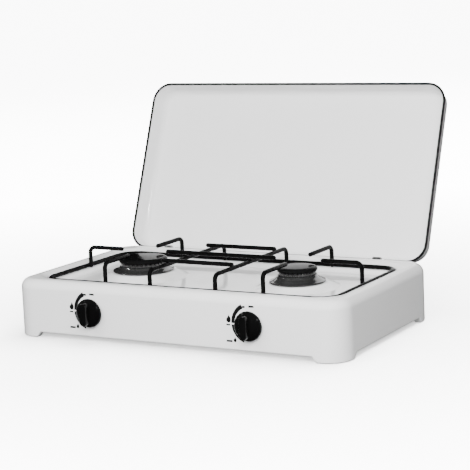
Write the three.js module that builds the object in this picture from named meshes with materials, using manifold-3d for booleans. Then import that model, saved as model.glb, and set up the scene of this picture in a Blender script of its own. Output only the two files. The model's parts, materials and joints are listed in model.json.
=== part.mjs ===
// Two-burner camping stove: pressed enamelled body, lift-off wire pan support, hinged lid, two gas taps.
// Millimetres, +X to the right, +Y to the back, +Z up. The origin is the centre of the underside of the
// bounding box. The lid stands open, leaning back on the rear edge of the body.

import * as THREE from 'three';
import { mergeVertices } from 'three/addons/utils/BufferGeometryUtils.js';
import Module from 'manifold-3d';

const wasm = await Module();
wasm.setup();

// ---------------------------------------------------------------- driving dimensions

const GAP = 0.3;

// Body: one deep-drawn sheet with a sunken deck.
const BODY_WIDTH = 500;
const BODY_DEPTH = 286;
const DECK = 79.5;
const BODY_CORNER = 32;
const BODY_EDGE = 13;
const SHEET = 1.2;
const FOOT_DROP = 7.5;
const FOOT_LENGTH = 36;
const FOOT_SLOPE = 7;
const BASE_FLANGE = 9;
const CORNER_STEPS = 5;
const EDGE_STEPS = 4;

// Pan support: 6 mm wire.
const WIRE_RADIUS = 3;
const WIRE_SIDES = 8;
const BEND_STEPS = 4;
const GRATE_Y = -3.2;
const GRATE_HALF_X = 220.3;
const GRATE_HALF_Y = 107;
const GRATE_CORNER = 26;
const FRAME_LEVEL = 74.4;
const ROD_LEVEL = 95.1;
const FINGER_LEVEL = ROD_LEVEL + 2 * WIRE_RADIUS + GAP;
const WIRE_BEND = 8;
const ROD_X = 50.3;
const BAR_SPREAD = 60;

// Sunken deck: the rim slopes down to a lip, then come a ledge under the pan support and a sloping wall.
const LIP_LEVEL = 76.6;
const RIM_SLOPE = 11;
const RECESS_PLAY = 1;
const RECESS_LIP = 1;
const LEDGE_WIDTH = 8;
const LEDGE_LEVEL = FRAME_LEVEL - WIRE_RADIUS - GAP;
const FLOOR_LEVEL = 65;
const FLOOR_INSET = 15;

// Burners. The tips are how far from its centre each wire of the pan support ends.
const BURNER_Y = -7.8;
const BURNERS = [
  {
    side: 'left', x: -121.4, ring: 43.3, rim: 75.9, cap: 34, cone: 62, ports: 16,
    tips: { front: 35.2, back: 36.4, outer: 35.2, inner: 35.6 },
  },
  {
    side: 'right', x: 121.4, ring: 38.5, rim: 73.9, cap: 27.3, cone: 56, ports: 12,
    tips: { front: 30, back: 36.4, outer: 33.2, inner: 34 },
  },
];
const CAP_TOP = 93.6;
const CAP_UNDERSIDE = 87.2;
const CUP_RADIUS = 17.5;
const CUP_TOP = 72.6;
const HEAD_INSET = 2.3;
const RING_TOP = 82;
const CONE_DROP = 2.2;
const CONE_HOLE = 20.5;
const FLANGE_RADIUS = 30;
const FLANGE_SHEET = 1.6;
const FLANGE_SCREW_X = 26.5;
const SCREW_HOLE = 2;
const TUBE_RADIUS = 8;
const TUBE_WALL = 1;
const TUBE_ELBOW = 15;
const ROUND_SIDES = 24;
const FINE_SIDES = 32;
const HOLE_SIDES = 10;
const CUP_SIDES = 16;
const TUBE_SIDES = 8;

// Gas taps and rail.
const TAP_LEVEL = 41.5;
const TAP_PUSH = 3;
const KNOB_RADIUS = 19.5;
const WALL_HOLE = 6.5;
const RAIL_Y = -116;
const RAIL_LEVEL = 26.5;
const RAIL_RADIUS = 5;
const RAIL_BORE = 3.8;
const RAIL_RIGHT_END = 146;
const CLAMP_SCREW_REACH = 11;
const CLAMP_SCREW_HOLE = 1.9;
const EAR_DROP = 1.4;
const GAS_PORT = 1.8;
const INLET_X = -205;
const INLET_REACH = 26;

// Lid: a shallow tray with sloping walls and a push-on edging bead.
const LID_WIDTH = 480;
const LID_LENGTH = 257;
const LID_CORNER = 27;
const LID_DEPTH = 27;
const LID_SHEET = 1;
const LID_FILLET = 10;
const LID_DRAFT = THREE.MathUtils.degToRad(10);
const BEAD_RADIUS = 1.75;
const LID_REAR_Y = 140.5;
const LID_SWING = THREE.MathUtils.degToRad(112);
const LID_REST_ANGLE = THREE.MathUtils.degToRad(50);
const HINGE_X = 171;
const HINGE_NOTCH = 8;
const SLOT_HALF = 7;
const SLOT_REACH = 4.4;
const SLOT_DROP = 11.5;
const KNUCKLE_RADIUS = 2.8;
const LUG_HALF_WIDTH = 4;
const LUG_RIVET_LEVEL = 52;
const RIVET_HOLE = 1.8;
const PIN_RADIUS = 1.1;
const PIN_HOLE = 1.4;

// ---------------------------------------------------------------- materials

const WHITE_ENAMEL = { color: 0xeeeeec, roughness: 0.16, metalness: 0 };
const BLACK_ENAMEL = { color: 0x0c0c0c, roughness: 0.25, metalness: 0 };
const BLACK_PLASTIC = { color: 0x0a0a0a, roughness: 0.22, metalness: 0 };
const BLACK_RUBBER = { color: 0x0b0b0b, roughness: 0.6, metalness: 0 };
const CHROME = { color: 0xc8c8c8, roughness: 0.12, metalness: 1 };
const ALUMINIUM = { color: 0xa9a9a9, roughness: 0.45, metalness: 1 };
const STEEL = { color: 0x9c9c9c, roughness: 0.35, metalness: 1 };
const BRASS = { color: 0xb08d4c, roughness: 0.35, metalness: 1 };

// ---------------------------------------------------------------- solids

const toSolid = (geometry) => {
  const bare = geometry.clone();
  bare.deleteAttribute('normal');
  bare.deleteAttribute('uv');
  const merged = mergeVertices(bare, 1e-4);
  return new wasm.Manifold(new wasm.Mesh({
    numProp: 3,
    vertProperties: new Float32Array(merged.attributes.position.array),
    triVerts: new Uint32Array(merged.index.array),
  }));
};

const toGeometry = (solid) => {
  const mesh = solid.getMesh();
  const geometry = new THREE.BufferGeometry();
  geometry.setAttribute('position', new THREE.BufferAttribute(new Float32Array(mesh.vertProperties), 3));
  geometry.setIndex(new THREE.BufferAttribute(new Uint32Array(mesh.triVerts), 1));
  return geometry;
};

const join = (...geometries) => toGeometry(geometries.map(toSolid).reduce((sum, next) => sum.add(next)));

const cut = (geometry, ...cutters) => toGeometry(
  cutters.map(toSolid).reduce((rest, cutter) => rest.subtract(cutter), toSolid(geometry)),
);

// ---------------------------------------------------------------- shapes

const box = (x0, x1, y0, y1, z0, z1) => new THREE.BoxGeometry(x1 - x0, y1 - y0, z1 - z0)
  .translate((x0 + x1) / 2, (y0 + y1) / 2, (z0 + z1) / 2);

// A solid of revolution about the vertical. The [radius, height] profile runs anticlockwise.
const turned = (profile, sides = ROUND_SIDES) => new THREE.LatheGeometry(
  profile.map(([radius, height]) => new THREE.Vector2(radius, height)), sides,
).rotateX(Math.PI / 2);

// A solid of revolution about the front-to-back direction: heights become distances towards the back.
const turnedAlongY = (profile, sides = ROUND_SIDES) => turned(profile, sides).rotateX(-Math.PI / 2);

const rodAlongX = (radius, x0, x1, y, z, sides = ROUND_SIDES) => new THREE.CylinderGeometry(
  radius, radius, x1 - x0, sides,
).rotateZ(Math.PI / 2).translate((x0 + x1) / 2, y, z);

const rodAlongY = (radius, y0, y1, x, z, sides = ROUND_SIDES) => new THREE.CylinderGeometry(
  radius, radius, y1 - y0, sides,
).translate(x, (y0 + y1) / 2, z);

const rodAlongZ = (radius, z0, z1, x, y, sides = ROUND_SIDES) => rodAlongY(radius, z0, z1, 0, 0, sides)
  .rotateX(Math.PI / 2).translate(x, y, 0);

// A flat plate in the YZ plane, spread from x0 to x1.
const plateAcrossX = (outline, x0, x1) => new THREE.ExtrudeGeometry(
  new THREE.Shape(outline.map(([y, z]) => new THREE.Vector2(y, z))),
  { depth: x1 - x0, bevelEnabled: false, curveSegments: 8 },
).rotateY(Math.PI / 2).rotateX(Math.PI / 2).translate(x0, 0, 0);

// One level of a rounded rectangle, anticlockwise seen from above.
const roundedRing = (halfX, halfY, corner, z, y = 0) => {
  const ring = [];
  for (let quarter = 0; quarter < 4; quarter += 1) {
    const signX = quarter === 0 || quarter === 3 ? 1 : -1;
    const signY = quarter < 2 ? 1 : -1;
    for (let step = 0; step <= CORNER_STEPS; step += 1) {
      const angle = (quarter + step / CORNER_STEPS) * (Math.PI / 2);
      ring.push(new THREE.Vector3(
        signX * (halfX - corner) + corner * Math.cos(angle),
        y + signY * (halfY - corner) + corner * Math.sin(angle),
        z,
      ));
    }
  }
  return ring;
};

// A closed solid through level rings given from the bottom up.
const loft = (rings) => {
  const count = rings[0].length;
  const indices = [];
  for (let level = 0; level < rings.length - 1; level += 1) {
    for (let i = 0; i < count; i += 1) {
      const a = level * count + i;
      const b = level * count + ((i + 1) % count);
      indices.push(a, b, b + count, a, b + count, a + count);
    }
  }
  const top = (rings.length - 1) * count;
  for (let i = 1; i < count - 1; i += 1) {
    indices.push(0, i + 1, i);
    indices.push(top, top + i, top + i + 1);
  }
  const geometry = new THREE.BufferGeometry().setFromPoints(rings.flat());
  geometry.setIndex(indices);
  return geometry;
};

// A tray-like loft: each level is [inset, height] from a rounded rectangle.
const tray = (halfX, halfY, corner, levels, y = 0) => loft(
  levels.map(([inset, height]) => roundedRing(halfX - inset, halfY - inset, corner - inset, height, y)),
);

// Straight runs between corner points, with a round bend at each corner in between.
const bentLine = (corners, radius, steps = BEND_STEPS) => {
  const points = [corners[0].clone()];
  for (let i = 1; i < corners.length - 1; i += 1) {
    const back = corners[i - 1].clone().sub(corners[i]).normalize();
    const ahead = corners[i + 1].clone().sub(corners[i]).normalize();
    const turn = Math.PI - back.angleTo(ahead);
    const reach = radius * Math.tan(turn / 2);
    const middle = back.clone().add(ahead).normalize();
    const centre = corners[i].clone().addScaledVector(middle, radius / Math.cos(turn / 2));
    const start = corners[i].clone().addScaledVector(back, reach).sub(centre);
    const axis = back.clone().cross(ahead).normalize().negate();
    for (let step = 0; step <= steps; step += 1) {
      const arm = start.clone().applyAxisAngle(axis, (turn * step) / steps);
      points.push(centre.clone().add(arm));
    }
  }
  points.push(corners[corners.length - 1].clone());
  return points;
};

// A flat curve through given points, with one section at each point and a fixed upright direction.
class SectionPath extends THREE.Curve {
  constructor(points, upright) {
    super();
    this.points = points;
    this.upright = upright;
  }

  getSpacedPoints() {
    return this.points.map((point) => point.clone());
  }

  computeFrenetFrames() {
    const last = this.points.length - 1;
    const tangents = this.points.map((point, i) => {
      const before = point.clone().sub(this.points[Math.max(i - 1, 0)]).normalize();
      const after = this.points[Math.min(i + 1, last)].clone().sub(point).normalize();
      return before.add(after).normalize();
    });
    const binormals = tangents.map(() => this.upright.clone());
    const normals = tangents.map((tangent) => this.upright.clone().cross(tangent).normalize());
    return { tangents, normals, binormals };
  }
}

const sweep = (section, points, upright) => new THREE.ExtrudeGeometry(section, {
  steps: points.length - 1,
  extrudePath: new SectionPath(points, upright),
});

// A round section whose flats face along and across the sweep's upright direction.
const roundSection = (radius, sides) => {
  const corners = [];
  for (let i = 0; i < sides; i += 1) {
    const angle = ((i + 0.5) / sides) * 2 * Math.PI;
    corners.push(new THREE.Vector2(radius * Math.cos(angle), radius * Math.sin(angle)));
  }
  return corners;
};

const UP = new THREE.Vector3(0, 0, 1);
const ACROSS = new THREE.Vector3(1, 0, 0);
const ALONG = new THREE.Vector3(0, 1, 0);

const wire = (corners, radius, upright) => sweep(
  new THREE.Shape(roundSection(WIRE_RADIUS, WIRE_SIDES)), bentLine(corners, radius), upright,
);

const point = (x, y, z) => new THREE.Vector3(x, y, z);

const stove = new THREE.Group();

const addPart = (parent, name, geometry, look) => {
  const mesh = new THREE.Mesh(geometry, new THREE.MeshStandardMaterial(look));
  mesh.name = name;
  parent.add(mesh);
  return mesh;
};

// ---------------------------------------------------------------- hinge line

// The lid's rear edge rests against the rounded rear edge of the body when open, and lies on the deck
// when closed. The hinge axis is the fixed point of the turn that takes one place to the other.
const roundingCentre = { y: BODY_DEPTH / 2 - BODY_EDGE, z: DECK - BODY_EDGE };
const restDistance = BODY_EDGE + GAP + BEAD_RADIUS;
const lidEdgeOpen = {
  y: roundingCentre.y + restDistance * Math.sin(LID_REST_ANGLE),
  z: roundingCentre.z + restDistance * Math.cos(LID_REST_ANGLE),
};
const lidEdgeClosed = { y: LID_REAR_Y, z: DECK + GAP + BEAD_RADIUS };
const halfTurn = 1 / (2 * Math.tan(LID_SWING / 2));
const hinge = {
  y: (lidEdgeOpen.y + lidEdgeClosed.y) / 2 + (lidEdgeOpen.z - lidEdgeClosed.z) * halfTurn,
  z: (lidEdgeOpen.z + lidEdgeClosed.z) / 2 - (lidEdgeOpen.y - lidEdgeClosed.y) * halfTurn,
};

// ---------------------------------------------------------------- body

const bodyLevels = (offset, bottom) => {
  const levels = [[offset, bottom]];
  const radius = BODY_EDGE - offset;
  for (let step = 0; step <= EDGE_STEPS; step += 1) {
    const angle = (step / EDGE_STEPS) * (Math.PI / 2);
    levels.push([BODY_EDGE - radius * Math.cos(angle), DECK - BODY_EDGE + radius * Math.sin(angle)]);
  }
  return levels;
};

// Cuts the apron up between the corner feet; rise moves the cut up with the inside of the sheet.
const apronCutters = (rise) => {
  const reach = BODY_WIDTH;
  const wedge = (half) => new THREE.Shape([
    new THREE.Vector2(-half - rise, -1),
    new THREE.Vector2(half + rise, -1),
    new THREE.Vector2(half + rise, rise),
    new THREE.Vector2(half + rise - FOOT_SLOPE, FOOT_DROP + rise),
    new THREE.Vector2(-half - rise + FOOT_SLOPE, FOOT_DROP + rise),
    new THREE.Vector2(-half - rise, rise),
  ]);
  const settings = { depth: 2 * reach, bevelEnabled: false };
  const lengthwise = new THREE.ExtrudeGeometry(wedge(BODY_WIDTH / 2 - FOOT_LENGTH), settings)
    .rotateX(Math.PI / 2).translate(0, reach, 0);
  const crosswise = new THREE.ExtrudeGeometry(wedge(BODY_DEPTH / 2 - FOOT_LENGTH), settings)
    .rotateX(Math.PI / 2).translate(0, reach, 0).rotateZ(Math.PI / 2);
  return [lengthwise, crosswise];
};

const recessHalfX = GRATE_HALF_X + WIRE_RADIUS + RECESS_PLAY;
const recessHalfY = GRATE_HALF_Y + WIRE_RADIUS + RECESS_PLAY;
const recessCorner = GRATE_CORNER + WIRE_RADIUS + RECESS_PLAY;

// The sunken space, grown by offset for the underside of its sheet.
const recessSpace = (offset) => tray(recessHalfX, recessHalfY, recessCorner, [
  [FLOOR_INSET - offset, FLOOR_LEVEL - offset],
  [LEDGE_WIDTH - offset, LEDGE_LEVEL - offset],
  [-offset, LEDGE_LEVEL - offset],
  [-offset, LIP_LEVEL - Math.max(offset, RECESS_LIP)],
  ...(offset > 0 ? [] : [[-RECESS_LIP, LIP_LEVEL]]),
  [-RECESS_LIP - RIM_SLOPE, DECK - offset],
  [-RECESS_LIP - RIM_SLOPE, DECK + (offset > 0 ? 0 : RECESS_LIP)],
], GRATE_Y);

// The raised cone that carries a burner's ring, shrunk by offset for the underside.
const burnerCone = ({ x, ring, rim, cone }, offset) => turned([
  [0, FLOOR_LEVEL - 2 * SHEET - offset],
  [cone + 2 * SHEET - offset, FLOOR_LEVEL - 2 * SHEET - offset],
  [cone - offset, FLOOR_LEVEL - offset],
  [ring - 1 - offset, rim - CONE_DROP - 0.8 - offset],
  [ring - 3 - offset, rim - CONE_DROP - offset],
  [0, rim - CONE_DROP - offset],
]).translate(x, BURNER_Y, 0);

const buildBody = () => {
  const outside = cut(
    tray(BODY_WIDTH / 2, BODY_DEPTH / 2, BODY_CORNER, bodyLevels(0, 0)), ...apronCutters(0),
  );
  const inside = cut(
    tray(BODY_WIDTH / 2, BODY_DEPTH / 2, BODY_CORNER, bodyLevels(SHEET, SHEET)), ...apronCutters(SHEET),
  );
  const flangeInset = SHEET + BASE_FLANGE;
  const underside = tray(BODY_WIDTH / 2, BODY_DEPTH / 2, BODY_CORNER, [
    [flangeInset, -1],
    [flangeInset, 2 * FOOT_DROP],
  ]);
  const deckUnderside = cut(recessSpace(SHEET), ...BURNERS.map((burner) => burnerCone(burner, SHEET)));
  const deckSpace = cut(recessSpace(0), ...BURNERS.map((burner) => burnerCone(burner, 0)));
  const shell = cut(join(cut(outside, inside, underside), deckUnderside), deckSpace);
  const front = [-BODY_DEPTH / 2 - 1, -BODY_DEPTH / 2 + 2 * SHEET];
  const back = [BODY_DEPTH / 2 - 2 * SHEET, BODY_DEPTH / 2 + 1];
  const burnerHoles = BURNERS.flatMap(({ x }) => [
    rodAlongZ(CONE_HOLE, FLOOR_LEVEL - 4, DECK, x, BURNER_Y),
    rodAlongZ(SCREW_HOLE, FLOOR_LEVEL - 4, DECK, x - FLANGE_SCREW_X, BURNER_Y, HOLE_SIDES),
    rodAlongZ(SCREW_HOLE, FLOOR_LEVEL - 4, DECK, x + FLANGE_SCREW_X, BURNER_Y, HOLE_SIDES),
    rodAlongY(WALL_HOLE, ...front, x, TAP_LEVEL),
  ]);
  const hingeHoles = [-HINGE_X, HINGE_X].flatMap((x) => [
    box(x - SLOT_HALF, x + SLOT_HALF, hinge.y - SLOT_REACH, back[1], DECK - SLOT_DROP, DECK + 1),
    rodAlongY(RIVET_HOLE, ...back, x, LUG_RIVET_LEVEL, HOLE_SIDES),
  ]);
  return cut(shell, ...burnerHoles, ...hingeHoles, rodAlongY(WALL_HOLE, ...back, INLET_X, RAIL_LEVEL));
};

addPart(stove, 'body_shell', buildBody(), WHITE_ENAMEL);

// ---------------------------------------------------------------- pan support

const frameCorners = () => {
  const left = -GRATE_HALF_X;
  const right = GRATE_HALF_X;
  const front = GRATE_Y - GRATE_HALF_Y;
  const back = GRATE_Y + GRATE_HALF_Y;
  return [
    point(GAP / 2, back, FRAME_LEVEL),
    point(right, back, FRAME_LEVEL),
    point(right, front, FRAME_LEVEL),
    point(left, front, FRAME_LEVEL),
    point(left, back, FRAME_LEVEL),
    point(-GAP / 2, back, FRAME_LEVEL),
  ];
};

// The legs are welded to the inner side of the frame.
const legInset = 2 * WIRE_RADIUS + GAP;
const legFoot = FRAME_LEVEL - WIRE_RADIUS + 0.5;
const frontLegY = GRATE_Y - GRATE_HALF_Y + legInset;
const backLegY = GRATE_Y + GRATE_HALF_Y - legInset;
const sideLegX = GRATE_HALF_X - legInset;

const longRod = (x) => wire([
  point(x, frontLegY, legFoot),
  point(x, frontLegY, ROD_LEVEL),
  point(x, backLegY, ROD_LEVEL),
  point(x, backLegY, legFoot),
], WIRE_BEND, ACROSS);

const bar = (y, start, end) => wire([
  point(start, y, FINGER_LEVEL),
  point(end, y, FINGER_LEVEL),
], WIRE_BEND, UP);

// A finger rises from the frame and reaches in towards a burner.
const finger = (foot, tip, upright) => wire([
  point(foot.x, foot.y, legFoot),
  point(foot.x, foot.y, FINGER_LEVEL),
  point(tip.x, tip.y, FINGER_LEVEL),
], WIRE_BEND, upright);

const buildGrate = () => {
  addPart(stove, 'grate_frame', wire(frameCorners(), GRATE_CORNER, UP), BLACK_ENAMEL);
  addPart(stove, 'grate_rod_left', longRod(-ROD_X), BLACK_ENAMEL);
  addPart(stove, 'grate_rod_right', longRod(ROD_X), BLACK_ENAMEL);
  const barHalf = ROD_X + 2 * WIRE_RADIUS;
  const [leftBurner, rightBurner] = BURNERS;
  const middleStart = leftBurner.x + leftBurner.tips.inner;
  const middleEnd = rightBurner.x - rightBurner.tips.inner;
  addPart(stove, 'grate_bar_back', bar(GRATE_Y + BAR_SPREAD, -barHalf, barHalf), BLACK_ENAMEL);
  addPart(stove, 'grate_bar_middle', bar(GRATE_Y, middleStart, middleEnd), BLACK_ENAMEL);
  addPart(stove, 'grate_bar_front', bar(GRATE_Y - BAR_SPREAD, -barHalf, barHalf), BLACK_ENAMEL);
  for (const { side, x, tips } of BURNERS) {
    const outward = Math.sign(x);
    const front = finger(point(x, frontLegY), point(x, BURNER_Y - tips.front), ACROSS);
    const back = finger(point(x, backLegY), point(x, BURNER_Y + tips.back), ACROSS);
    const outer = finger(point(outward * sideLegX, GRATE_Y), point(x + outward * tips.outer, GRATE_Y), ALONG);
    addPart(stove, `grate_finger_${side}_front`, front, BLACK_ENAMEL);
    addPart(stove, `grate_finger_${side}_back`, back, BLACK_ENAMEL);
    addPart(stove, `grate_finger_${side}_outer`, outer, BLACK_ENAMEL);
  }
};

buildGrate();

// ---------------------------------------------------------------- burners

// A bright ring that rests on the raised cone and flares up to the burner head.
const buildRing = ({ ring, rim, cap }) => {
  const inner = cap - HEAD_INSET + 2 * GAP;
  const foot = rim - CONE_DROP + GAP;
  return turned([
    [inner, RING_TOP - 0.9],
    [ring - 4, rim + 0.6],
    [ring - 4, foot],
    [ring, foot],
    [ring, rim - 0.6],
    [ring - 1, rim + 0.6],
    [ring - 3.5, rim + 1.5],
    [inner, RING_TOP],
    [inner, RING_TOP - 0.9],
  ]);
};

// The cast head: a spigot in the cup, a flared bowl and a ring of flame ports under the cap.
const buildCrown = ({ cap, ports }) => {
  const top = CAP_UNDERSIDE - GAP;
  const radius = cap - HEAD_INSET;
  const bowl = turned([
    [11.5, CUP_TOP - 7],
    [CUP_RADIUS - TUBE_WALL - 0.5, CUP_TOP - 7],
    [CUP_RADIUS - TUBE_WALL - 0.5, CUP_TOP + GAP],
    [CUP_RADIUS + 1, CUP_TOP + GAP],
    [radius - 1.5, top - 5.5],
    [radius, top - 4],
    [radius, top],
    [radius - 4.5, top],
    [radius - 5.5, top - 5],
    [12, CUP_TOP + 4],
    [11.5, CUP_TOP - 7],
  ]);
  const slots = [];
  for (let i = 0; i < ports; i += 1) {
    const angle = ((i + 0.5) / ports) * 2 * Math.PI;
    slots.push(box(radius - 8, radius + 2, -0.9, 0.9, top - 2.6, top + 1).rotateZ(angle));
  }
  return cut(bowl, ...slots);
};

const buildCap = ({ cap }) => turned([
  [0, CAP_UNDERSIDE],
  [cap - 10, CAP_UNDERSIDE],
  [cap - 10, CAP_UNDERSIDE - 2],
  [cap - 8.2, CAP_UNDERSIDE - 2],
  [cap - 8.2, CAP_UNDERSIDE],
  [cap - 0.6, CAP_UNDERSIDE],
  [cap, CAP_UNDERSIDE + 0.6],
  [cap, CAP_UNDERSIDE + 3.2],
  [cap - 1.2, CAP_TOP - 1.8],
  [cap - 4, CAP_TOP - 0.7],
  [0, CAP_TOP],
], FINE_SIDES);

const tubeMouth = -103;
const tubeFoot = CUP_TOP - 15;

// Outside or inside of the mixing tube, with its elbow and the cup on top.
const tubeSpace = (radius, cupRadius, mouth, top) => {
  const path = bentLine([
    point(0, mouth, TAP_LEVEL),
    point(0, BURNER_Y, TAP_LEVEL),
    point(0, BURNER_Y, tubeFoot),
  ], TUBE_ELBOW);
  const pipe = sweep(new THREE.Shape(roundSection(radius, TUBE_SIDES)), path, ACROSS);
  const cup = turned([
    [0, tubeFoot - 2],
    [radius * 0.98, tubeFoot - 2],
    [cupRadius, tubeFoot + 6],
    [cupRadius, top],
    [0, top],
  ], CUP_SIDES).translate(0, BURNER_Y, 0);
  return join(pipe, cup);
};

// The mixing tube takes gas and air in at its mouth and carries them to the burner cup. Its flange is
// screwed up against the underside of the cone.
const buildMixingTube = ({ rim }) => {
  const flangeTop = rim - CONE_DROP - SHEET - GAP;
  const flangeUnderside = flangeTop - FLANGE_SHEET;
  const flange = turned([
    [CUP_RADIUS - 2, flangeUnderside],
    [FLANGE_RADIUS, flangeUnderside],
    [FLANGE_RADIUS, flangeTop],
    [CUP_RADIUS - 2, flangeTop],
    [CUP_RADIUS - 2, flangeUnderside],
  ]).translate(0, BURNER_Y, 0);
  const outside = join(tubeSpace(TUBE_RADIUS, CUP_RADIUS, tubeMouth, CUP_TOP), flange);
  const inside = tubeSpace(TUBE_RADIUS - TUBE_WALL, CUP_RADIUS - TUBE_WALL, tubeMouth - 1, CUP_TOP + 1);
  const airWindow = box(-4, 4, tubeMouth + 5, tubeMouth + 15, TAP_LEVEL - 12, TAP_LEVEL + 12);
  const screwHoles = [-FLANGE_SCREW_X, FLANGE_SCREW_X].map(
    (x) => rodAlongZ(SCREW_HOLE, flangeUnderside - 1, flangeTop + 1, x, BURNER_Y, HOLE_SIDES),
  );
  return cut(outside, inside, airWindow, ...screwHoles);
};

const buildScrew = (headRadius, headHeight, shankRadius, shankLength) => turned([
  [0, -shankLength],
  [shankRadius, -shankLength],
  [shankRadius, 0],
  [headRadius, 0],
  [headRadius, headHeight * 0.6],
  [headRadius * 0.6, headHeight],
  [0, headHeight],
], HOLE_SIDES);

const buildBurners = () => {
  for (const burner of BURNERS) {
    const { side, x, rim } = burner;
    const place = new THREE.Group();
    place.position.set(x, 0, 0);
    stove.add(place);
    addPart(place, `burner_ring_${side}`, buildRing(burner), CHROME).position.y = BURNER_Y;
    addPart(place, `burner_crown_${side}`, buildCrown(burner), ALUMINIUM).position.y = BURNER_Y;
    addPart(place, `burner_cap_${side}`, buildCap(burner), BLACK_ENAMEL).position.y = BURNER_Y;
    addPart(place, `mixing_tube_${side}`, buildMixingTube(burner), STEEL);
    for (const [end, screwX] of [['a', -FLANGE_SCREW_X], ['b', FLANGE_SCREW_X]]) {
      const screw = addPart(place, `flange_screw_${side}_${end}`, buildScrew(3.2, 1.8, 1.6, 6), STEEL);
      screw.position.set(screwX, BURNER_Y, rim - CONE_DROP + GAP);
    }
  }
};

buildBurners();

// ---------------------------------------------------------------- gas taps

const panelInside = -BODY_DEPTH / 2 + SHEET;
const valveFront = panelInside + 3.3;
const valveBack = valveFront + 32;
const boreStep = valveFront + 14.5;
const plugEnd = boreStep + 13;
const flangeFront = valveFront + GAP;
const knobBack = -BODY_DEPTH / 2 - TAP_PUSH - 0.6;

// The tap body: a brass block with a saddle on the rail, a stepped bore and a port to the injector.
const buildValveBody = () => {
  const block = box(-10, 10, valveFront, valveBack, RAIL_LEVEL + 0.6, TAP_LEVEL + 9);
  const bore = turnedAlongY([
    [0, -1],
    [6.2, -1],
    [6.2, boreStep - valveFront],
    [5, boreStep - valveFront],
    [4.4, plugEnd + 0.4 - valveFront],
    [0, plugEnd + 0.4 - valveFront],
  ]).translate(0, valveFront, TAP_LEVEL);
  return cut(
    block,
    bore,
    rodAlongY(3.4, plugEnd, valveBack + 1, 0, TAP_LEVEL, HOLE_SIDES),
    rodAlongX(RAIL_RADIUS + GAP, -11, 11, RAIL_Y, RAIL_LEVEL),
    rodAlongZ(GAS_PORT, RAIL_LEVEL, TAP_LEVEL - 3, 0, RAIL_Y, HOLE_SIDES),
    rodAlongZ(CLAMP_SCREW_HOLE, RAIL_LEVEL, RAIL_LEVEL + 8, 0, RAIL_Y - CLAMP_SCREW_REACH, HOLE_SIDES),
  );
};

// The taper plug turns in the bore; its slot takes the tang of the stem.
const buildPlug = () => cut(
  turnedAlongY([
    [0, 0],
    [4.7, 0],
    [4.1, plugEnd - boreStep],
    [0, plugEnd - boreStep],
  ]).translate(0, boreStep, TAP_LEVEL),
  box(-1.3, 1.3, boreStep - 1, boreStep + 5.5, TAP_LEVEL - 6, TAP_LEVEL + 6),
);

const stemFront = knobBack - 11;

const buildStem = () => join(
  rodAlongY(3, stemFront, flangeFront + 0.5, 0, TAP_LEVEL, 16),
  rodAlongY(5.7, flangeFront, flangeFront + 1.2, 0, TAP_LEVEL, 16),
  box(-1, 1, flangeFront + 0.5, boreStep + 1.5, TAP_LEVEL - 3, TAP_LEVEL + 3),
);

// The return spring, drawn at the length that it has with the knob pushed in.
const buildSpring = () => {
  const start = flangeFront + 1.2 + GAP + 0.5;
  const length = boreStep - start - TAP_PUSH - 1;
  const turns = 4;
  const stepsPerTurn = 8;
  const points = [];
  for (let i = 0; i <= turns * stepsPerTurn; i += 1) {
    const angle = (i / stepsPerTurn) * 2 * Math.PI;
    const y = start + (length * i) / (turns * stepsPerTurn);
    points.push(point(4.8 * Math.cos(angle), y, TAP_LEVEL + 4.8 * Math.sin(angle)));
  }
  return sweep(new THREE.Shape(roundSection(0.45, 5)), points, ALONG);
};

const buildBonnet = () => cut(
  box(-9, 9, valveFront - 1.5, valveFront - GAP, TAP_LEVEL - 7.5, TAP_LEVEL + 7.5),
  rodAlongY(3.5, valveFront - 3, valveFront + 1, 0, TAP_LEVEL, 16),
);

// A round skirt with an upright grip bar, bored for the stem.
const buildKnob = () => {
  const skirt = turnedAlongY([
    [0, -9.5],
    [8, -9.5],
    [13.5, -7.6],
    [KNOB_RADIUS - 2.2, -4.4],
    [KNOB_RADIUS - 0.5, -3.4],
    [KNOB_RADIUS, -2.2],
    [KNOB_RADIUS, 0],
    [0, 0],
  ]).translate(0, knobBack, TAP_LEVEL);
  const grip = new THREE.Shape();
  const gripHalf = 13.5;
  const gripWidth = 4;
  grip.absarc(0, gripHalf - gripWidth, gripWidth, 0, Math.PI, false);
  grip.absarc(0, -gripHalf + gripWidth, gripWidth, Math.PI, 2 * Math.PI, false);
  const bar3d = new THREE.ExtrudeGeometry(grip, {
    depth: 12.5, bevelEnabled: true, bevelSize: 1, bevelThickness: 1.5, bevelSegments: 1, curveSegments: 6,
  }).rotateX(Math.PI / 2).translate(0, knobBack - 3, TAP_LEVEL);
  return cut(join(skirt, bar3d), rodAlongY(3.3, stemFront - GAP, knobBack + 1, 0, TAP_LEVEL, 16));
};

const buildInjector = () => turnedAlongY([
  [0, 0],
  [3.1, 0],
  [3.1, 4.3],
  [5, 4.3],
  [5, 8],
  [2.6, 9],
  [1.6, 12.5],
  [0, 12.5],
], HOLE_SIDES).translate(0, valveBack - 3.7, TAP_LEVEL);

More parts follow.
